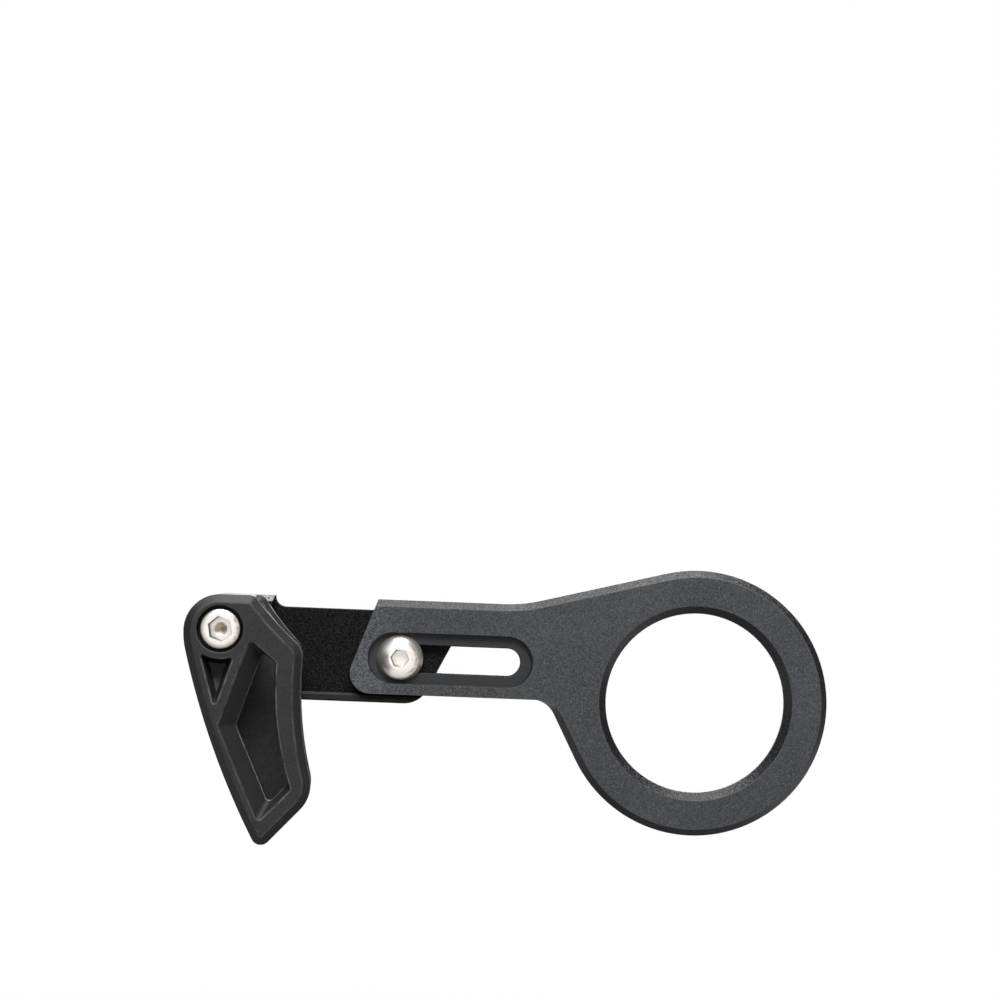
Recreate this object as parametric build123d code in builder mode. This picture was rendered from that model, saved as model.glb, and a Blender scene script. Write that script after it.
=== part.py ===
from build123d import *
from math import atan, cos, degrees, hypot, radians, sin, sqrt, tan
import os

# Chain guide for a threaded bottom bracket, in millimetres.
# X runs along the adjusting slot and points from the cage towards the bottom bracket.
# Y is the bottom bracket axis and the outer side of the bicycle faces -Y. Z points up.
# The origin lies on the bottom bracket axis, on the face that meets the frame shell.
# A height is measured from that face towards the outer side.

# Ring of the mount plate
bore_d = 35.0
ring_od = 51.8
plate_t = 3.0
bore_bevel = 1.45
bore_bevel_h = 2.0
edge_bevel = 1.3
edge_bevel_h = 2.0
edge_break = 0.15

# Slotted arm of the mount plate
top_line_z = 17.9
plate_bottom_z = -0.5
slot_axis_z = 6.6
slot_inner_x = -37.15
slot_length = 27.0
slot_w = 5.3
recess_margin = 2.25
recess_extra = 0.4
recess_depth = 1.2
end_margin = 7.9
end_lean = 20.0
end_corner_r = 4.0
upper_flank = 14.4
lower_flank = 62.5
upper_waist_r = 28.0
lower_waist_r = 5.0

# Screws
thread_d = 5.0
thread_ease = 0.04
shank_ease = 0.4
clamp_head_d = 9.0
clamp_head_h = 2.75
clamp_rim_h = 0.5
clamp_flat_d = 4.4
clamp_hex = 3.0
clamp_hex_depth = 1.3
clamp_hex_turn_angle = 54.0
clamp_length = 5.0
cage_head_d = 7.45
cage_head_h = 4.0
cage_rim_w = 0.8
cage_rim_h = 0.45
cage_hex = 4.0
cage_hex_depth = 2.2
cage_hex_turn_angle = 40.0
cage_cone_d = 2.6
cage_screw_length = 18.0
head_sink = 0.4
head_gap = 0.7
tip_bevel = 0.5
cone_angle = 60.0

# Sliding fit between the arm and the mount plate
slide_out = 0.85
slide_in = 19.8
face_clear = 0.05
guide_clear = 0.1
stop_clear = 0.25

# Slide arm
arm_t = 3.5
arm_top_z = 15.75
arm_bottom_z = -2.2
arm_tail = 8.6
arm_lean = 26.6
arm_corner_r = 5.2
arm_left_lean = 16.5
lip_h = 1.8
lip_bevel = 0.3
boss_h = 4.2
boss_bevel = 1.1
foot_drop = 6.6
foot_gap = 0.9
foot_corner_r = 4.0
key_w = 3.0
key_l = 5.0
key_h = 1.0
key_x = -0.3
key_z = -9.5
key_clear = 0.1

# Cage, with its outline measured from the axis of the cage screw
cage_reach = 34.2
axis_drop = 6.55
inner_t = 3.0
channel_w = 9.6
outer_t = 3.2
cage_bevel = 1.5
lead_bevel = 0.9
head_r = 6.95
head_turn_r = 15.0
head_turn_angle = 14.5
left_r = 153.0
left_turn_angle = 13.9
top_run = 6.2
inner_top_run = 7.4
inner_trim = 0.25
diagonal_sag = 0.4
shoulder_x = 15.85
shoulder_z = -3.2
right_sag = 1.4
heel_x = 19.0
heel_z = -30.8
lower_slope = 47.2
tip_r = 1.9
heel_r = 6.5
shoulder_r = 4.0
crown_r = 1.7

# Window of the outer half, its front edge and the inset of its sloping walls
win_top = (5.6, -1.8)
win_right = (10.9, -5.95)
win_heel = (14.55, -29.9)
win_low = (8.45, -36.3)
win_elbow = (0.25, -18.3)
win_right_sag = 1.2
win_left_inset = 3.25
win_low_inset = 1.2
win_draft_inset = 0.3
win_r = 0.8

# Triangular core-out below the head of the cage screw
core_top_r = 5.75
core_left_x = -3.65
core_right_x = 2.75
core_low = (-0.45, -15.1)
core_depth = 4.6
core_inset = 0.9
core_r = 0.4

# Bridge that joins the two halves over the chain
bridge_step_w = 0.4
peg_d = 2.4
peg_l = 2.0
peg_at = (3.9, -25.4)
peg_clear = 0.1

# Places that follow from the sizes above
bore_r = bore_d / 2
ring_r = ring_od / 2
slot_outer_x = slot_inner_x - slot_length + slot_w
slot_mid_x = (slot_inner_x + slot_outer_x) / 2
end_x = slot_outer_x - end_margin
clamp_x = slot_outer_x + slide_out
clamp_seat = plate_t - recess_depth + face_clear
clamp_rim = (clamp_head_d / 2, clamp_rim_h)
clamp_flat = (clamp_flat_d / 2, clamp_head_h)
dome_low = (hypot(*clamp_flat)**2 - hypot(*clamp_rim)**2) / (2 * (clamp_head_h - clamp_rim_h))
dome_r = hypot(clamp_flat[0], clamp_head_h - dome_low)
dome_mid_x = (clamp_rim[0] + clamp_flat[0]) / 2
dome_mid = (dome_mid_x, dome_low + sqrt(dome_r**2 - dome_mid_x**2))
lip_top_z = plate_bottom_z - guide_clear
inner_face = boss_h + inner_t
outer_face = inner_face + channel_w
cage_front = outer_face + outer_t
seam = (inner_face + outer_face) / 2
cage_seat = cage_front - head_sink - cage_head_h
cone_depth = cage_cone_d / 2 / tan(radians(cone_angle))
cage_x = clamp_x - cage_reach
cage_z = top_line_z - axis_drop
foot_x = cage_x + shoulder_x - foot_gap
foot_z = arm_bottom_z - foot_drop
front = Plane.XZ
cage = Plane(origin=(cage_x, 0, cage_z), x_dir=(1, 0, 0), z_dir=(0, -1, 0))
clamp = Plane(origin=(clamp_x, 0, slot_axis_z), x_dir=(1, 0, 0), z_dir=(0, -1, 0))
dome_section = Plane(origin=(clamp_x, -clamp_seat, slot_axis_z), x_dir=(1, 0, 0), z_dir=(0, 0, -1))


def lean_x(z, at_slot, lean):
    # X of a leaning end face at height z, from its place on the slot axis
    return at_slot + (z - slot_axis_z) * tan(radians(lean))


def meet(p, d, q, e):
    # Point where the line through p along d crosses the line through q along e
    t = ((q[0] - p[0]) * e[1] - (q[1] - p[1]) * e[0]) / (d[0] * e[1] - d[1] * e[0])
    return (p[0] + t * d[0], p[1] + t * d[1])


def inset_corners(points, insets):
    # Corners of a clockwise polygon after each side moves inwards by its own inset
    sides = []
    for i, inset in enumerate(insets):
        a = points[i]
        b = points[(i + 1) % len(points)]
        run = hypot(b[0] - a[0], b[1] - a[1])
        d = ((b[0] - a[0]) / run, (b[1] - a[1]) / run)
        sides.append(((a[0] + d[1] * inset, a[1] - d[0] * inset), d))
    return [meet(*sides[i - 1], *sides[i]) for i in range(len(points))]


def plate_outline(inset):
    # Outline of the mount plate, with the bevelled edges moved inwards by inset
    r = ring_r - inset
    top = top_line_z - inset
    up = radians(upper_flank)
    low = radians(lower_flank)
    upper_waist = ((cos(up) * top - r) / sin(up), top)
    lower_waist = (-(r + cos(low) * plate_bottom_z) / sin(low), plate_bottom_z)
    top_left = (lean_x(top, end_x, end_lean), top)
    low_left = (lean_x(plate_bottom_z, end_x, end_lean), plate_bottom_z)
    with BuildSketch() as outline:
        with BuildLine():
            ring = CenterArc((0, 0), r, 90 + upper_flank, -180 - upper_flank - lower_flank)
            Line(ring @ 1, lower_waist)
            Line(lower_waist, low_left)
            Line(low_left, top_left)
            Line(top_left, upper_waist)
            Line(upper_waist, ring @ 0)
        make_face()
        fillet(outline.vertices().sort_by_distance(upper_waist)[0], upper_waist_r + inset)
        fillet(outline.vertices().sort_by_distance(lower_waist)[0], lower_waist_r + inset)
        fillet(outline.vertices().sort_by_distance(low_left)[0], end_corner_r)
    return outline.sketch


def cage_outline(run, trim):
    # Outline of a cage half seen from the outer side, with the run of its top edge
    # and the trim of its open side
    shoulder = (shoulder_x - trim, shoulder_z)
    heel = (heel_x - trim, heel_z)
    slope = radians(lower_slope)
    with BuildSketch() as outline:
        with BuildLine():
            head = JernArc((0, axis_drop), (-1, 0), head_r, 90)
            turn = JernArc(head @ 1, head % 1, head_turn_r, head_turn_angle)
            left = JernArc(turn @ 1, turn % 1, left_r, left_turn_angle)
            p = left @ 1
            d = left % 1
            tip = meet((p.X, p.Y), (d.X, d.Y), heel, (cos(slope), sin(slope)))
            Line(p, tip)
            Line(tip, heel)
            SagittaArc(heel, shoulder, right_sag)
            SagittaArc(shoulder, (run, axis_drop), diagonal_sag)
            Line((run, axis_drop), head @ 0)
        make_face()
        fillet(outline.vertices().sort_by_distance(tip)[0], tip_r)
        fillet(outline.vertices().sort_by_distance(heel)[0], heel_r)
        fillet(outline.vertices().sort_by_distance(shoulder)[0], shoulder_r)
        fillet(outline.vertices().sort_by_distance((run, axis_drop))[0], crown_r)
    return outline.sketch


def window_outline(corners):
    # Five-sided window with a gently hollow right side and small corner radii
    with BuildSketch() as outline:
        with BuildLine():
            Line(corners[0], corners[1])
            SagittaArc(corners[1], corners[2], -win_right_sag)
            Line(corners[2], corners[3])
            Line(corners[3], corners[4])
            Line(corners[4], corners[0])
        make_face()
        for corner in corners:
            fillet(outline.vertices().sort_by_distance(corner)[0], win_r)
    return outline.sketch


win_front = [win_top, win_right, win_heel, win_low, win_elbow]
win_insets = [win_draft_inset, win_draft_inset, win_low_inset, win_left_inset, win_left_inset]
win_back = inset_corners(win_front, win_insets)
step_insets = [0, 0, 0, -bridge_step_w, -bridge_step_w]
bridge_line = inset_corners(win_back, step_insets)
window_front = window_outline(win_front)
window_back = window_outline(win_back)
plate_rim = plate_outline(0)
plate_face = plate_outline(edge_bevel)
outer_outline = cage_outline(top_run, 0)
inner_outline = cage_outline(inner_top_run, inner_trim)

# Area of the bridge: the left side of the cage outline, closed off square below the window
low_end = bridge_line[3]
elbow = bridge_line[4]
wall_run = hypot(low_end[0] - elbow[0], low_end[1] - elbow[1])
wall = ((low_end[0] - elbow[0]) / wall_run, (low_end[1] - elbow[1]) / wall_run)
past = 3 * head_r
with BuildSketch() as bridge_area:
    add(outer_outline)
    with BuildLine():
        Polyline(
            (-past, past),
            (top_run, past),
            (top_run, axis_drop - crown_r),
            bridge_line[0],
            elbow,
            low_end,
            (low_end[0] + past * wall[1], low_end[1] - past * wall[0]),
            (-past, low_end[1] - past * wall[0]),
            close=True,
        )
    make_face(mode=Mode.INTERSECT)

# Outline of the slide arm, with the head round the cage screw and the foot under the cage
boss_right = lean_x(top_line_z, end_x, end_lean) - slide_in - stop_clear
rise = top_line_z - arm_top_z
tail_x = clamp_x + arm_tail
left_lean = radians(arm_left_lean)
left_touch = (cage_x - axis_drop * cos(left_lean), cage_z - axis_drop * sin(left_lean))
left_foot = (left_touch[0] + (left_touch[1] - foot_z) * tan(left_lean), foot_z)
tail_low = (lean_x(arm_bottom_z, tail_x, arm_lean), arm_bottom_z)
with BuildSketch() as arm_outline:
    with BuildLine():
        arm_head = CenterArc((cage_x, cage_z), axis_drop, 90, 90 + arm_left_lean)
        Line(arm_head @ 1, left_foot)
        Line(left_foot, (foot_x, foot_z))
        Line((foot_x, foot_z), (foot_x, arm_bottom_z))
        Line((foot_x, arm_bottom_z), tail_low)
        Line(tail_low, (lean_x(arm_top_z, tail_x, arm_lean), arm_top_z))
        Line((lean_x(arm_top_z, tail_x, arm_lean), arm_top_z), (boss_right + rise, arm_top_z))
        CenterArc((boss_right + rise, top_line_z), rise, 270, -90)
        Line((boss_right, top_line_z), arm_head @ 0)
    make_face()
    fillet(arm_outline.vertices().sort_by_distance(tail_low)[0], arm_corner_r)
    fillet(arm_outline.vertices().sort_by_distance((foot_x, foot_z))[0], foot_corner_r)
    fillet(arm_outline.vertices().sort_by_distance(left_foot)[0], tip_r)

# Mount plate: moulded ring and slotted arm in one piece
with BuildPart() as mount_plate:
    with BuildSketch(front):
        add(plate_rim)
    extrude(amount=plate_t - edge_bevel_h)
    with BuildSketch(front.offset(plate_t - edge_bevel_h)):
        add(plate_rim)
    with BuildSketch(front.offset(plate_t)):
        add(plate_face)
    loft(ruled=True)
    with BuildSketch(front):
        Circle(bore_r)
        with Locations((slot_mid_x, slot_axis_z)):
            SlotOverall(slot_length, slot_w)
    extrude(amount=plate_t, mode=Mode.SUBTRACT)
    with BuildSketch(front.offset(plate_t)):
        with Locations((slot_mid_x - recess_extra / 2, slot_axis_z)):
            SlotOverall(slot_length + 2 * recess_margin + recess_extra, slot_w + 2 * recess_margin)
    extrude(amount=-recess_depth, mode=Mode.SUBTRACT)
    plate_faces = mount_plate.faces().filter_by(Axis.Y).sort_by(Axis.Y)
    slot_rim = plate_faces[1].inner_wires()[0].edges()
    recess_rim = plate_faces[0].inner_wires().sort_by(Axis.X)[0].edges()
    chamfer(slot_rim + recess_rim, edge_break)
    with BuildSketch(front.offset(plate_t)):
        Circle(bore_r + bore_bevel)
    extrude(amount=-bore_bevel_h, taper=degrees(atan(bore_bevel / bore_bevel_h)), mode=Mode.SUBTRACT)

# Slide arm: flat bar with a guide lip, a boss for the cage and two tapped holes
with BuildPart() as slide_arm:
    with BuildSketch(front.offset(-face_clear)):
        add(arm_outline.sketch)
    extrude(amount=-arm_t)
    with BuildSketch(front.offset(-face_clear)):
        add(arm_outline.sketch)
        with BuildLine():
            Polyline(
                (boss_right - past, lip_top_z),
                (0, lip_top_z),
                (0, foot_z - past),
                (boss_right - past, foot_z - past),
                close=True,
            )
        make_face(mode=Mode.INTERSECT)
    extrude(amount=lip_h + face_clear)
    chamfer(slide_arm.faces().sort_by(Axis.Y)[0].edges().filter_by(Axis.X), lip_bevel)
    chamfer(slide_arm.faces().sort_by(Axis.Y)[-1].edges(), edge_break)
    with BuildSketch(front.offset(-face_clear)):
        add(arm_outline.sketch)
        with BuildLine():
            Polyline(
                (lean_x(top_line_z + past, end_x, end_lean) - slide_in - stop_clear, top_line_z + past),
                (lean_x(lip_top_z, end_x, end_lean) - slide_in - stop_clear, lip_top_z),
                (foot_x, lip_top_z),
                (foot_x, foot_z - past),
                (cage_x - past, foot_z - past),
                (cage_x - past, top_line_z + past),
                close=True,
            )
        make_face(mode=Mode.INTERSECT)
    extrude(amount=boss_h + face_clear)
    boss_top = slide_arm.edges().filter_by(Axis.X).group_by(Axis.Z)[-1].sort_by(Axis.Y)[0]
    chamfer(boss_top, boss_bevel)
    with BuildSketch(cage.offset(boss_h)):
        with Locations((key_x, key_z)):
            SlotOverall(key_l, key_w, rotation=90)
    extrude(amount=key_h)
    with BuildSketch(front.offset(boss_h)):
        with Locations((cage_x, cage_z), (clamp_x, slot_axis_z)):
            Circle((thread_d + thread_ease) / 2)
    extrude(amount=-boss_h - face_clear - arm_t, mode=Mode.SUBTRACT)

# Outer cage half: kite-shaped plate with bevelled rim, window, core-out and half of the bridge
with BuildPart() as cage_outer:
    with BuildSketch(cage.offset(outer_face)):
        add(outer_outline)
    extrude(amount=outer_t)
    chamfer(cage_outer.faces().sort_by(Axis.Y)[0].edges(), cage_bevel)
    chamfer(cage_outer.faces().sort_by(Axis.Y)[-1].edges(), lead_bevel)
    with BuildSketch(cage.offset(seam)):
        add(bridge_area.sketch)
    extrude(amount=cage_front - cage_bevel - seam)
    with BuildSketch(cage.offset(cage_front)):
        add(window_front)
    with BuildSketch(cage.offset(outer_face)):
        add(window_back)
    loft(ruled=True, mode=Mode.SUBTRACT)
    with BuildSketch(cage.offset(cage_front)):
        with BuildLine():
            core_left = (core_left_x, -sqrt(core_top_r**2 - core_left_x**2))
            core_right = (core_right_x, -sqrt(core_top_r**2 - core_right_x**2))
            ThreePointArc(core_left, (0, -core_top_r), core_right)
            Line(core_right, core_low)
            Line(core_low, core_left)
        core = make_face()
        fillet(core.vertices(), core_r)
    extrude(amount=-core_depth, taper=degrees(atan(core_inset / core_depth)), mode=Mode.SUBTRACT)
    with BuildSketch(cage.offset(cage_seat)):
        Circle(cage_head_d / 2 + head_gap)
    extrude(amount=cage_front - cage_seat, mode=Mode.SUBTRACT)
    chamfer(cage_outer.faces().sort_by(Axis.Y)[0].edges(), edge_break)
    rear_face = cage_outer.faces().filter_by(Axis.Y).filter_by_position(Axis.Y, -outer_face, -outer_face)
    chamfer(rear_face[0].inner_wires()[0].edges(), edge_break)
    with BuildSketch(cage.offset(seam)):
        Circle((thread_d + shank_ease) / 2)
    extrude(amount=cage_seat - seam, mode=Mode.SUBTRACT)
    with BuildSketch(cage.offset(seam)):
        with Locations(peg_at):
            Circle(peg_d / 2)
    extrude(amount=-peg_l)

# Inner cage half: plain plate behind the chain with the other half of the bridge
with BuildPart() as cage_inner:
    with BuildSketch(cage.offset(boss_h)):
        add(inner_outline)
    extrude(amount=inner_t)
    chamfer(cage_inner.faces().sort_by(Axis.Y)[0].edges(), lead_bevel)
    with BuildSketch(cage.offset(inner_face - lead_bevel)):
        add(bridge_area.sketch)
    extrude(amount=seam - inner_face + lead_bevel)
    with BuildSketch(cage.offset(boss_h)):
        Circle((thread_d + shank_ease) / 2)
    extrude(amount=seam - boss_h, mode=Mode.SUBTRACT)
    with BuildSketch(cage.offset(boss_h)):
        with Locations((key_x, key_z)):
            SlotOverall(key_l + 2 * key_clear, key_w + 2 * key_clear, rotation=90)
    extrude(amount=key_h + key_clear, mode=Mode.SUBTRACT)
    with BuildSketch(cage.offset(seam)):
        with Locations(peg_at):
            Circle(peg_d / 2 + peg_clear)
    extrude(amount=-peg_l - peg_clear, mode=Mode.SUBTRACT)


# Cage screw: cap screw through both halves into the boss
with BuildPart() as cage_screw:
    with BuildSketch(cage.offset(cage_seat)):
        Circle(cage_head_d / 2)
    extrude(amount=cage_head_h)
    head_face = cage_screw.faces().sort_by(Axis.Y)[0]
    chamfer(head_face.edges(), cage_rim_w, cage_rim_h, reference=head_face)
    with BuildSketch(cage.offset(cage_seat)):
        Circle(thread_d / 2)
    extrude(amount=-cage_screw_length)
    chamfer(cage_screw.faces().sort_by(Axis.Y)[-1].edges(), tip_bevel)
    with BuildSketch(cage.offset(cage_seat + cage_head_h)):
        RegularPolygon(cage_hex / 2, 6, major_radius=False, rotation=cage_hex_turn_angle)
    extrude(amount=-cage_hex_depth, mode=Mode.SUBTRACT)
    with Locations(cage.offset(cage_seat + cage_head_h - cage_hex_depth)):
        Cone(0, cage_cone_d / 2, cone_depth, align=(Align.CENTER, Align.CENTER, Align.MAX), mode=Mode.SUBTRACT)

# Clamp screw: button-head screw that rides in the slot and threads into the arm
with BuildPart() as clamp_screw:
    with BuildSketch(dome_section):
        with BuildLine():
            ThreePointArc(clamp_rim, dome_mid, clamp_flat)
            Polyline(clamp_flat, (0, clamp_head_h), (0, 0), (clamp_head_d / 2, 0), clamp_rim)
        make_face()
    revolve(axis=Axis(dome_section.origin, dome_section.y_dir))
    with BuildSketch(clamp.offset(clamp_seat)):
        Circle(thread_d / 2)
    extrude(amount=-clamp_length)
    chamfer(clamp_screw.faces().sort_by(Axis.Y)[-1].edges(), tip_bevel)
    with BuildSketch(clamp.offset(clamp_seat + clamp_head_h)):
        RegularPolygon(clamp_hex / 2, 6, major_radius=False, rotation=clamp_hex_turn_angle)
    extrude(amount=-clamp_hex_depth, mode=Mode.SUBTRACT)

os.makedirs("parts", exist_ok=True)
mount_plate.part.label = "mount_plate"
slide_arm.part.label = "slide_arm"
cage_outer.part.label = "cage_outer"
cage_inner.part.label = "cage_inner"
cage_screw.part.label = "cage_screw"
clamp_screw.part.label = "clamp_screw"
export_step(mount_plate.part, "parts/mount_plate.step")
export_step(slide_arm.part, "parts/slide_arm.step")
export_step(cage_outer.part, "parts/cage_outer.step")
export_step(cage_inner.part, "parts/cage_inner.step")
export_step(cage_screw.part, "parts/cage_screw.step")
export_step(clamp_screw.part, "parts/clamp_screw.step")
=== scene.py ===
import math
import bpy
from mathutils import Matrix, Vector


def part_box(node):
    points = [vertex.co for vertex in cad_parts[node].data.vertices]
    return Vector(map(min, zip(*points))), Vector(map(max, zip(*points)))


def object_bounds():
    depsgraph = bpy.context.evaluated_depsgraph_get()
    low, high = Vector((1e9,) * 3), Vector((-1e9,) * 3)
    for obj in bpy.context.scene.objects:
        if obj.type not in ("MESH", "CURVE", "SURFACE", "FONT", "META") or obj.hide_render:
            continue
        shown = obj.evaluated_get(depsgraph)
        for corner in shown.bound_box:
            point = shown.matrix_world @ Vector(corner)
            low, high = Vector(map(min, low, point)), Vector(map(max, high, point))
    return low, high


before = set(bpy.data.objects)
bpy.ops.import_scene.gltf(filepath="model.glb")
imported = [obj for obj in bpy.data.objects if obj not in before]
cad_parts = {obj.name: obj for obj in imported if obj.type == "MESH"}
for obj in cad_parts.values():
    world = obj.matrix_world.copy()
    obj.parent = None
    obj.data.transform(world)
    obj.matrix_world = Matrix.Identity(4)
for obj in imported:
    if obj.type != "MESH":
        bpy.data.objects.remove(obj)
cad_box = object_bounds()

# Mount plate
# A ring with a slotted arm, injection moulded in one piece from black nylon filled with short
# glass fibre. The mould was spark eroded, so the skin is grained and shows ends of fibre. The end
# by the cage is painted paler as painted light, and the clamp screw has rubbed the bottom of the
# recess smooth, where floor and walls are darkened with painted shade. Bevels and walls have a
# smoother skin with painted shade, paler on top with painted light, and edges a painted highlight.
plate_dark = (0.0346, 0.0365, 0.0398, 1)
plate_light = (0.0962, 0.1015, 0.1100, 1)
plate_fibre = (0.24, 0.24, 0.255, 1)
plate_painted_light = (0.186, 0.195, 0.209, 1)
plate_edge_highlight = (0.14, 0.14, 0.147, 1)
bevel_dark = (0.002, 0.002, 0.0022, 1)
bevel_side_painted_shade = (0.044, 0.0455, 0.0485, 1)
bevel_top_painted_light = (0.124, 0.127, 0.133, 1)
recess_floor_painted_shade = (0.020, 0.0203, 0.0222, 1)
recess_wall_painted_shade = (0.004, 0.004, 0.0044, 1)
plate_specular = 0.28
plate_roughness = 0.44
plate_round = 0.00015
cloud_size = 0.014
cloud_weight = 0.5
grain_size = 0.00026
grain_weight = 2.8
grain_depth = 0.00002
grain_roughness = 0.2
tone_start = 1.15
fibre_size = 0.0006
fibre_radius = 0.19
fibre_share = 0.50
edge_width = 0.0002
plate_edge_highlight_share = 0.5
painted_light_span = (-0.0680, -0.0540)
painted_light_share = 0.8
painted_top_light_tilt_span = (0.40, 0.75)
bevel_gloss = 0.10
bevel_relief = 1.5
recess_left = -0.0647
recess_right = -0.0320
recess_low = 0.0017
recess_high = 0.0115
recess_rim = -0.0026
recess_back = -0.0006
recess_fade = 0.0004
recess_floor_shade_share = 0.75
recess_wall_shade_share = 0.9
recess_gloss = 0.05
recess_smoothing = 0.7


class Shade:
    """A socket of a node tree. Arithmetic on it adds Math nodes, and node() adds any other node."""

    def __init__(self, tree, socket=None):
        self.tree = tree
        self.socket = socket

    def feed(self, made, sockets):
        for name, value in sockets.items():
            if isinstance(value, Shade):
                self.tree.links.new(value.socket, made.inputs[name])
            else:
                made.inputs[name].default_value = value

    def node(self, kind, settings, sockets, output=0):
        made = self.tree.nodes.new("ShaderNode" + kind)
        for name, value in settings.items():
            setattr(made, name, value)
        self.feed(made, sockets)
        return Shade(self.tree, made.outputs[output])

    def math(self, operation, *others):
        # One Math node fed with this value and then the others
        return self.node("Math", {"operation": operation}, dict(enumerate((self, *others))))

    def __add__(self, other):
        return self.math("ADD", other)

    def __sub__(self, other):
        return self.math("SUBTRACT", other)

    def __rsub__(self, other):
        return self.math("MULTIPLY_ADD", -1.0, other)

    def __mul__(self, other):
        return self.math("MULTIPLY", other)

    __radd__ = __add__
    __rmul__ = __mul__

    def vector(self, operation, other, output="Vector"):
        return self.node("VectorMath", {"operation": operation}, {0: self, 1: other}, output)

    def along(self, direction):
        # How far this place lies in that direction
        return self.vector("DOT_PRODUCT", direction, "Value")

    def length(self):
        return self.vector("LENGTH", (0, 0, 0), "Value")

    def axis(self, name):
        return self.node("SeparateXYZ", {}, {0: self}, name)

    def normal(self, axis):
        # How far the surface faces along that axis, from -1 to 1
        return self.node("NewGeometry", {}, {}, "Normal").axis(axis)

    def step(self, low, high):
        # Rises smoothly from 0 at low to 1 at high, which are the two values of a span
        sockets = {"Value": self, "From Min": low, "From Max": high}
        return self.node("MapRange", {"interpolation_type": "SMOOTHSTEP"}, sockets)

    def fall(self, low, high):
        # Falls smoothly from 1 at low to 0 at high
        return 1 - self.step(low, high)

    def within(self, low, high, fade):
        # 1 between low and high, and 0 outside them
        return self.step(low - fade, low) * self.fall(high, high + fade)

    def mix(self, first, second):
        # The first colour where this value is 0 and the second where it is 1
        return self.node("Mix", {"data_type": "RGBA"}, {0: self, 6: first, 7: second}, 2)

    def noise(self, size, detail=3):
        # Soft random values from 0 to 1 with grains of about that size in metres
        return self.node("TexNoise", {}, {"Vector": self, "Scale": 1 / size, "Detail": detail})

    def flecks(self, size, radius, share):
        # Round specks in that share of the cells of that size, the radius as a part of a cell
        share_fade = 0.02
        sockets = {"Vector": self, "Scale": 1 / size}
        away = self.node("TexVoronoi", {}, sockets, "Distance")
        choice = self.node("TexVoronoi", {}, sockets, "Color").axis("X")
        return away.fall(radius / 2, radius) * choice.fall(share - share_fade, share)

    def outer_edges(self, width):
        # 1 along the outside edges and 0 on flat faces, from how soon a ray into the solid gets out
        full_edge = 0.07
        settings = {"samples": 8, "inside": True, "only_local": True}
        buried = self.node("AmbientOcclusion", settings, {"Distance": width}, "AO")
        return (1 - buried).step(0.0, full_edge)

    def slopes(self, steep=0.55, level=0.85):
        # 1 on bevels and walls and 0 on the level front and back, by the square of the normal's Y
        facing = self.normal("Y")
        return (facing * facing).fall(steep, level)

    def bumps(self, depth, edge_round):
        # Surface direction with this value as height, and with the sharp edges slightly rounded
        rounded = self.node("Bevel", {"samples": 6}, {"Radius": edge_round})
        return self.node("Bump", {}, {"Height": self, "Distance": depth, "Normal": rounded})


def finish(name, nodes):
    # A new material on these CAD nodes, as its shader and the place on the surface in metres
    material = bpy.data.materials.new(name)
    material.use_nodes = True
    for node in nodes:
        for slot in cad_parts[node].material_slots:
            slot.material = material
    start = Shade(material.node_tree)
    return material.node_tree.nodes["Principled BSDF"], start.node("TexCoord", {}, {}, "Object")


plate_shader, place = finish("fibre_nylon", ["mount_plate"])
sunk = place.axis("X").within(recess_left, recess_right, recess_fade)
sunk = sunk * place.axis("Z").within(recess_low, recess_high, recess_fade)
recess = sunk * place.axis("Y").within(recess_rim, recess_back, recess_fade)
slope = place.slopes()
cloud = place.noise(cloud_size)
grain = place.noise(grain_size)
tone = (cloud_weight * cloud + grain_weight * grain - tone_start).step(0.0, 1.0)
skin = tone.mix(plate_dark, plate_light)
# The end by the cage is painted paler: a painted pool of light, kept off the bevels.
painted_light = place.axis("X").fall(*painted_light_span) * (1 - slope)
skin = (painted_light_share * painted_light * tone).mix(skin, plate_painted_light)
fibre = place.flecks(fibre_size, fibre_radius, fibre_share) * (1 - recess)
skin = fibre.mix(skin, plate_fibre)
# Bevels and walls are painted darker as painted shade, and those facing up paler as painted light.
painted_top_light_mask = place.normal("Z").step(*painted_top_light_tilt_span)
bevel_speckle_and_painted_light = (tone * tone).mix(bevel_dark, painted_top_light_mask.mix(bevel_side_painted_shade, bevel_top_painted_light))
skin = slope.mix(skin, bevel_speckle_and_painted_light)
# The floor and walls of the recess are darkened with painted shade.
skin = (recess_floor_shade_share * recess).mix(skin, recess_floor_painted_shade)
skin = (recess_wall_shade_share * slope * sunk).mix(skin, recess_wall_painted_shade)
# A thin painted highlight along the outside edges, kept off the recess.
plate_highlight_mask = plate_edge_highlight_share * place.outer_edges(edge_width) * (1 - sunk)
relief = grain * (1 - recess_smoothing * recess) * (1 + bevel_relief * slope)
roughness = plate_roughness + grain_roughness * grain
place.feed(plate_shader, {
    "Base Color": plate_highlight_mask.mix(skin, plate_edge_highlight),
    "Roughness": roughness - recess_gloss * recess - bevel_gloss * slope,
    "Specular IOR Level": plate_specular,
    "Normal": relief.bumps(grain_depth, plate_round),
})

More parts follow.
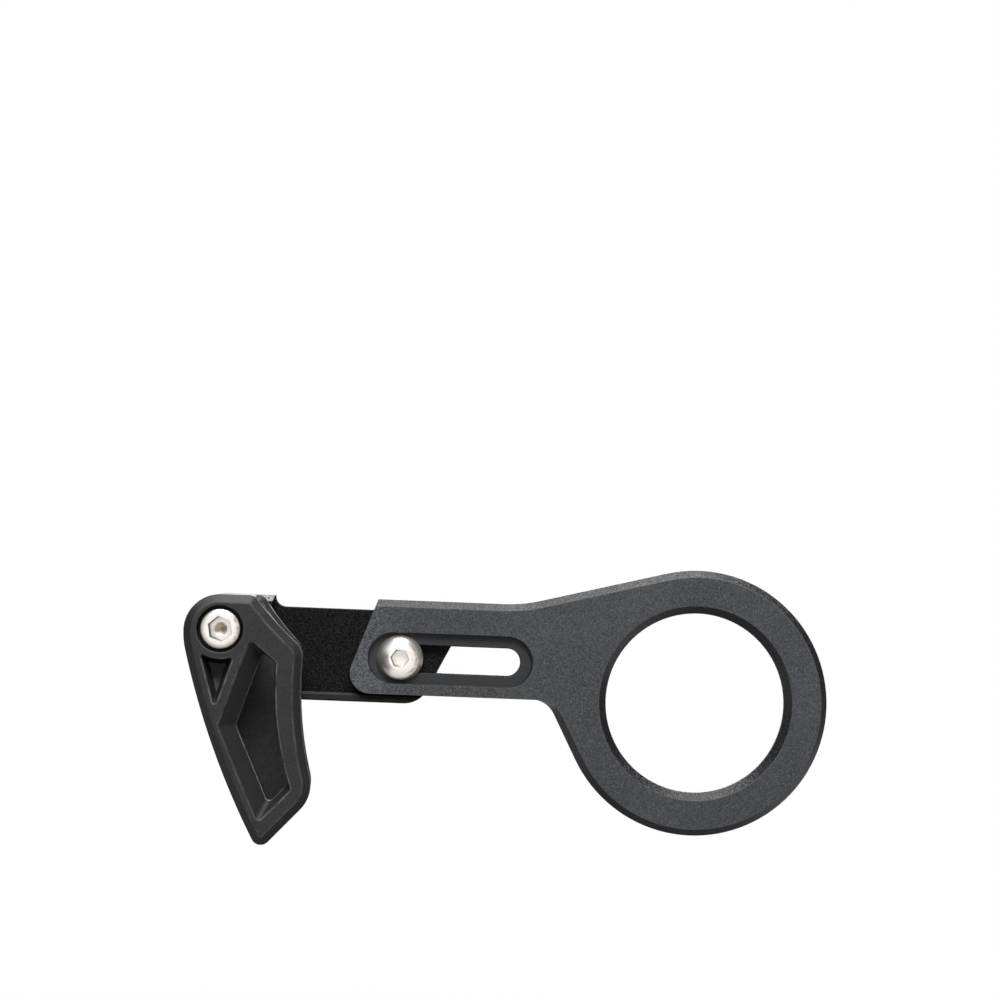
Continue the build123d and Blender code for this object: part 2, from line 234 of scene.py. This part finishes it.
# Slide arm
# A flat bar with a guide lip and a boss, milled from aluminium, bead blasted and anodised black.
# It slides behind the plate, and the clamp screw threads into it through the slot. Pale specks are
# painted glints, the lip below the plate is painted a little paler as painted light, the bevel on
# top of the boss is painted pale as a painted highlight, and edges carry a thin painted highlight.
arm_black = (0.0012, 0.0012, 0.0012, 1)
arm_grey = (0.018, 0.018, 0.0175, 1)
arm_painted_glint = (0.062, 0.062, 0.060, 1)
arm_lip_painted_light = (0.032, 0.032, 0.0312, 1)
arm_top_painted_highlight = (0.34, 0.335, 0.325, 1)
arm_edge_highlight = (0.16, 0.155, 0.15, 1)
arm_specular = 0.07
arm_roughness = 0.40
arm_round = 0.00015
arm_edge_highlight_share = 0.35
blast_size = 0.00035
blast_span = (0.38, 0.62)
blast_depth = 0.00004
blast_roughness = 0.2
glint_size = 0.00042
glint_radius = 0.24
glint_share = 0.40
lip_height_span = (-0.0006, -0.0003)
lip_depth_span = (-0.0004, 0.0)
lip_light_patch_size = 0.004
lip_light_patch_span = (0.2, 0.7)
lip_light_least = 0.6
top_highlight_height_span = (0.0166, 0.0168)
top_highlight_depth_span = (-0.0030, -0.0028)
top_highlight_span = (0.2, 0.6)
arm_shader, place = finish("black_aluminium", ["slide_arm"])
blast = place.noise(blast_size)
coat = blast.step(*blast_span).mix(arm_black, arm_grey)
# Pale specks are painted glints of the blasted skin.
coat = place.flecks(glint_size, glint_radius, glint_share).mix(coat, arm_painted_glint)
# The lip is painted paler in patches as painted light.
lip = place.axis("Z").fall(*lip_height_span) * place.axis("Y").fall(*lip_depth_span)
lip_painted_light = lip * (lip_light_least + (1 - lip_light_least) * place.noise(lip_light_patch_size).step(*lip_light_patch_span))
coat = lip_painted_light.mix(coat, arm_lip_painted_light)
# The bevel on top of the boss is painted pale as a painted highlight.
top_highlight_mask = place.axis("Z").step(*top_highlight_height_span) * place.axis("Y").fall(*top_highlight_depth_span)
coat = (top_highlight_mask * blast.step(*top_highlight_span)).mix(coat, arm_top_painted_highlight)
# A thin painted highlight along the outside edges.
place.feed(arm_shader, {
    "Base Color": (arm_edge_highlight_share * place.outer_edges(edge_width)).mix(coat, arm_edge_highlight),
    "Roughness": arm_roughness + blast_roughness * blast,
    "Specular IOR Level": arm_specular,
    "Normal": blast.bumps(blast_depth, arm_round),
})

# Cage halves
# Two nylon mouldings with a smooth satin skin, screwed to the boss of the arm. One lies behind the
# chain and one in front of it, each with half of the bridge over the chain. Their edges carry a thin
# painted highlight, their bevels and walls are painted darker as painted shade, and the top bevel
# and the floor of the pocket are painted paler as painted light.
cage_dark = (0.028, 0.028, 0.0283, 1)
cage_light = (0.054, 0.054, 0.0545, 1)
cage_slope_painted_shade = (0.021, 0.021, 0.0211, 1)
cage_pocket_painted_light = (0.14, 0.14, 0.141, 1)
cage_top_painted_light = (0.071, 0.068, 0.064, 1)
cage_edge_highlight = (0.40, 0.40, 0.403, 1)
cage_specular = 0.18
cage_roughness = 0.38
cage_round = 0.00018
satin_cloud_size = 0.009
satin_cloud_weight = 0.5
satin_cloud_roughness = 0.12
satin_grain_size = 0.0005
satin_grain_weight = 0.7
satin_grain_depth = 0.000012
satin_grain_roughness = 0.06
satin_span = (0.3, 0.9)
slope_shade_share = 0.8
pocket_light_front = -0.0156
pocket_light_back = -0.0152
pocket_light_fade = 0.0001
top_light_tilt_span = (0.35, 0.60)
top_light_height_span = (0.0138, 0.0152)
top_light_share = 0.6
cage_highlight_size = 0.0025
cage_highlight_span = (0.25, 0.6)
cage_highlight_share = 0.7
upper_rear_slope = (1, 0, 0.24)
upper_rear_span = (-0.0948, -0.0942)
lower_rear_slope = (1, 0, 0.40)
lower_rear_span = (-0.0953, -0.0946)
highlight_off_rear = 0.1
screw_ring_span = (0.0050, 0.0054)
screw_ring_highlight = 0.2
top_edge_span = (0.0160, 0.0166)
top_edge_highlight_cut = 0.75
cage_shader, place = finish("black_nylon", ["cage_outer", "cage_inner"])
cloud = place.noise(satin_cloud_size)
grain = place.noise(satin_grain_size)
satin = (satin_cloud_weight * cloud + satin_grain_weight * grain).step(*satin_span)
satin = satin.mix(cage_dark, cage_light)
slope = place.slopes()
# Bevels and walls are painted darker as painted shade.
satin = (slope_shade_share * slope).mix(satin, cage_slope_painted_shade)
# The floor of the pocket is painted paler as painted light.
pocket_light_mask = place.axis("Y").within(pocket_light_front, pocket_light_back, pocket_light_fade) * (1 - slope)
satin = pocket_light_mask.mix(satin, cage_pocket_painted_light)
# Faces tilted up near the top are painted paler as painted light.
cage_top_light_mask = place.normal("Z").step(*top_light_tilt_span) * place.axis("Z").step(*top_light_height_span)
satin = (top_light_share * cage_top_light_mask).mix(satin, cage_top_painted_light)
# A thin painted highlight along the outside edges, mostly right of two slanted lines, and weaker by
# the screw and along the top edge.
cage_highlight_mask = place.outer_edges(edge_width) * place.noise(cage_highlight_size, detail=2).step(*cage_highlight_span)
upper_rear = place.along(upper_rear_slope).step(*upper_rear_span)
lower_rear = place.along(lower_rear_slope).step(*lower_rear_span)
cage_highlight_mask = cage_highlight_mask * (highlight_off_rear + (1 - highlight_off_rear) * upper_rear.math("MINIMUM", lower_rear))
screw_low, screw_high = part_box("cage_screw")
from_screw = place.vector("SUBTRACT", (screw_low + screw_high) / 2).vector("MULTIPLY", (1, 0, 1))
off_ring = from_screw.length().step(*screw_ring_span)
cage_highlight_mask = cage_highlight_mask * (screw_ring_highlight + (1 - screw_ring_highlight) * off_ring)
cage_highlight_mask = cage_highlight_mask * (1 - top_edge_highlight_cut * place.axis("Z").step(*top_edge_span))
place.feed(cage_shader, {
    "Base Color": (cage_highlight_share * cage_highlight_mask).mix(satin, cage_edge_highlight),
    "Roughness": cage_roughness + satin_cloud_roughness * cloud + satin_grain_roughness * grain,
    "Specular IOR Level": cage_specular,
    "Normal": grain.bumps(satin_grain_depth, cage_round),
})

# Screws
# A socket cap screw holds the cage on the arm and a button-head screw clamps the arm in the slot.
# Both are cold headed stainless steel, turned on the face and tumbled bright. The hexagon is
# punched, so its walls are dull and are painted darker as painted shade, with a dark line of painted
# shade along the rim of the socket. The cage screw's socket floor is painted brown as painted shade,
# and the right of the head's rim has brown patches of painted reflection.
steel_light = (0.97, 0.945, 0.905, 1)
steel_dark = (0.88, 0.84, 0.77, 1)
socket_painted_shade = (0.06, 0.053, 0.044, 1)
socket_floor_painted_shade = (0.56, 0.49, 0.39, 1)
rim_painted_reflection = (0.46, 0.39, 0.34, 1)
steel_metallic = 0.88
steel_roughness = 0.27
steel_round = 0.00005
turning_pitch = 0.00016
turning_depth = 0.0000015
smear_size = 0.0016
smear_span = (0.3, 0.7)
smear_relief = 2.0
smear_roughness = 0.10
head_left = 0.0012
head_fade = 0.0004
socket_reach_span = (0.0024, 0.0026)
wall_depth_span = (0.00005, 0.0002)
wall_tilt_span = (0.05, 0.3)
wall_shade_share = 0.35
wall_roughness = 0.3
socket_floor_fade = 0.0002
socket_floor_patch_span = (0.1, 0.6)
socket_floor_reach_span = (0.0010, 0.0014)
socket_floor_roughness = 0.2
rim_shade_inside = 0.00002
rim_shade_outside = 0.00010
rim_shade_fade = 0.00008
rim_shade_share = 0.35
rim_shade_left_share = 0.6
rim_shade_left_span = (-0.001, 0.001)
rim_reflection_near = 0.00305
rim_reflection_far = 0.00345
rim_reflection_fade = 0.0001
rim_reflection_right_span = (0.0008, 0.0022)
rim_reflection_patch_size = 0.0007
rim_reflection_patch_span = (0.35, 0.60)
rim_reflection_share = 0.8


def bright_steel(node, socket_depth, socket_floor, flats, turn):
    # Polished steel with fine turning rings around the axis of this screw
    low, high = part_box(node)
    shader, place = finish(node + "_steel", [node])
    from_axis = place.vector("SUBTRACT", (low + high) / 2).vector("MULTIPLY", (1, 0, 1))
    radius = from_axis.length()
    depth = place.axis("Y") - low.y
    rings = (radius * (2 * math.pi / turning_pitch)).math("SINE")
    smear = place.noise(smear_size)
    head_end = socket_depth + head_left
    in_head = depth.fall(head_end, head_end + head_fade)
    in_socket = in_head * radius.fall(*socket_reach_span)
    # The walls of the socket are painted darker as painted shade.
    wall = in_socket * depth.step(*wall_depth_span) * place.slopes(*wall_tilt_span)
    # The floor of the socket is painted in its given colour, a brown painted shade for the cage
    # screw.
    socket_floor_mask = in_socket * depth.step(socket_depth - socket_floor_fade, socket_depth + socket_floor_fade)
    socket_floor_mask = socket_floor_mask * smear.step(*socket_floor_patch_span) * radius.fall(*socket_floor_reach_span)
    reach = []
    for side in range(3):
        angle = math.radians(turn + 60 * side)
        reach.append(from_axis.along((math.cos(angle), 0, math.sin(angle))).math("ABSOLUTE"))
    hexagon = reach[0].math("MAXIMUM", reach[1]).math("MAXIMUM", reach[2])
    # A dark line of painted shade along the rim of the socket, heavier on the left.
    rim_shade_mask = hexagon.within(flats / 2 - rim_shade_inside, flats / 2 + rim_shade_outside, rim_shade_fade)
    left = from_axis.axis("X").fall(*rim_shade_left_span)
    rim_shade_mask = rim_shade_mask * (rim_shade_share + rim_shade_left_share * left) * in_head
    # Brown patches of painted reflection on the right of the rim.
    rim_reflection_mask = radius.within(rim_reflection_near, rim_reflection_far, rim_reflection_fade) * from_axis.axis("X").step(*rim_reflection_right_span)
    rim_reflection_mask = rim_reflection_mask * place.noise(rim_reflection_patch_size, detail=2).step(*rim_reflection_patch_span)
    metal = smear.step(*smear_span).mix(steel_light, steel_dark)
    metal = socket_floor_mask.mix(metal, socket_floor)
    metal = (rim_reflection_share * rim_reflection_mask).mix(metal, rim_painted_reflection)
    metal = (wall_shade_share * wall).math("MAXIMUM", rim_shade_mask).mix(metal, socket_painted_shade)
    roughness = steel_roughness + smear_roughness * smear
    place.feed(shader, {
        "Base Color": metal,
        "Metallic": steel_metallic,
        "Roughness": roughness + wall_roughness * wall + socket_floor_roughness * socket_floor_mask,
        "Normal": (rings + smear_relief * smear).bumps(turning_depth, steel_round),
    })


bright_steel("cage_screw", socket_depth=0.0022, socket_floor=socket_floor_painted_shade, flats=0.0040, turn=10)
bright_steel("clamp_screw", socket_depth=0.0013, socket_floor=steel_dark, flats=0.0030, turn=24)

# Floor
# A plain pale sheet under the part. It keeps the soft shadow close to the part and runs out into
# the white backdrop without a visible edge.
white = (1, 1, 1, 1)
black = (0, 0, 0, 1)
floor_near = (0.30, 0.30, 0.30, 1)
floor_glow = (0.55, 0.55, 0.55, 1)
floor_mirrored_painted_shadow = (0.24, 0.235, 0.23, 1)
floor_bounce = (0.03, 0.029, 0.028, 1)
floor_drop = 0.055
floor_half = 4.0
shadow_span = (0.10, 0.22)
mirror_front_span = (-0.02, 0.03)
bright_near = 0.15
bright_far = 0.32
bright_fade = 0.06
floor_z = cad_box[0].z - floor_drop
middle = (cad_box[0] + cad_box[1]) / 2
floor_sides = [(-1, -1), (1, -1), (1, 1), (-1, 1)]
floor_corners = [(x * floor_half, y * floor_half, floor_z) for x, y in floor_sides]
floor_mesh = bpy.data.meshes.new("floor")
floor_mesh.from_pydata(floor_corners, [], [(0, 1, 2, 3)])
floor = bpy.data.objects.new("floor", floor_mesh)
bpy.context.scene.collection.objects.link(floor)
floor_material = bpy.data.materials.new("pale_floor")
floor_material.use_nodes = True
floor_mesh.materials.append(floor_material)


def background_rays(tree):
    # Three values, each 1 for its kind of ray: from the camera, off a mirror, or through clear stuff
    kinds = ("Is Camera Ray", "Is Glossy Ray", "Is Transmission Ray")
    return [Shade(tree).node("LightPath", {}, {}, kind) for kind in kinds]


camera_ray, glossy_ray, clear_ray = background_rays(floor_material.node_tree)
seen = (camera_ray + glossy_ray + clear_ray).math("MINIMUM", 1.0)
place = seen.node("TexCoord", {}, {}, "Object")
away = place.vector("SUBTRACT", middle).vector("MULTIPLY", (1, 1, 0)).length()
far = away.step(*shadow_span)
floor_seen = far.mix(floor_glow, white)
# In mirrors the floor shows a painted shadow, darker under and behind the part, white in front of it
# and in a ring around it.
front = place.axis("Y").fall(*mirror_front_span)
bright = front.math("MAXIMUM", away.within(bright_near, bright_far, bright_fade))
floor_in_mirror = bright.mix(floor_mirrored_painted_shadow, white)
seen.feed(floor_material.node_tree.nodes["Principled BSDF"], {
    "Base Color": (camera_ray + clear_ray).mix(floor_bounce, far.mix(floor_near, black)),
    "Roughness": 1.0,
    "Specular IOR Level": 0.0,
    "Emission Color": seen.mix(black, glossy_ray.mix(floor_seen, floor_in_mirror)),
    "Emission Strength": 1.0,
    "Alpha": 1 - place.node("NewGeometry", {}, {}, "Backfacing"),
})

# Light
# A soft key in front and above, a weaker panel overhead and another behind, in a dim warm room.
# Mirrors show a white card in front of the part and the white backdrop straight behind it.
room_colour = (0.07, 0.068, 0.066, 1)
mirror_room = (0.09, 0.08, 0.07, 1)
mirror_card = (0.98, 0.975, 0.96, 1)
card_span = (-0.22, -0.12)
card_middle_span = (-0.96, -0.92)
backdrop_span = (0.75, 0.90)


def soft_panel(name, at, width, height, radiance):
    # A rectangular lamp that faces the part and doesn't show itself
    lamp = bpy.data.lights.new(name, "AREA")
    lamp.shape = "RECTANGLE"
    lamp.size = width
    lamp.size_y = height
    lamp.energy = radiance * math.pi * width * height
    panel = bpy.data.objects.new(name, lamp)
    panel.location = at
    panel.rotation_euler = (middle - panel.location).to_track_quat("-Z", "Y").to_euler()
    panel.visible_camera = False
    bpy.context.scene.collection.objects.link(panel)


soft_panel("key_panel", at=(-0.06, -0.46, 0.55), width=0.4, height=0.32, radiance=14.0)
soft_panel("top_panel", at=(-0.05, 0.09, 0.62), width=0.45, height=0.36, radiance=6.7)
soft_panel("back_panel", at=(0.05, 0.75, 0.30), width=0.5, height=0.4, radiance=5.0)

world = bpy.data.worlds.new("room")
bpy.context.scene.world = world
world.use_nodes = True
camera_ray, glossy_ray, clear_ray = background_rays(world.node_tree)
depth = camera_ray.node("TexCoord", {}, {}, "Generated").axis("Y")
mirrored = depth.fall(*card_span).mix(mirror_room, mirror_card)
mirrored = (depth.step(*backdrop_span) + depth.fall(*card_middle_span)).mix(mirrored, white)
shown = (camera_ray + clear_ray).mix(glossy_ray.mix(room_colour, mirrored), white)
camera_ray.feed(world.node_tree.nodes["Background"], {"Color": shown, "Strength": 1.0})

# Camera
# It stands almost square in front of the outer side with a long lens, at the height of the upper
# edge, and looks a little up, so that the part lies low in the picture.
camera_lens = 109.55
camera_at = (-0.05985, -0.59565, 0.02413)
camera_turn = (1.59445, -0.03927, -0.03482)
camera_clip = 0.01
camera = bpy.data.objects.new("camera", bpy.data.cameras.new("camera"))
camera.data.lens = camera_lens
camera.data.clip_start = camera_clip
camera.location = camera_at
camera.rotation_euler = camera_turn
bpy.context.scene.collection.objects.link(camera)
bpy.context.scene.camera = camera
bpy.context.scene.view_settings.view_transform = "Standard"
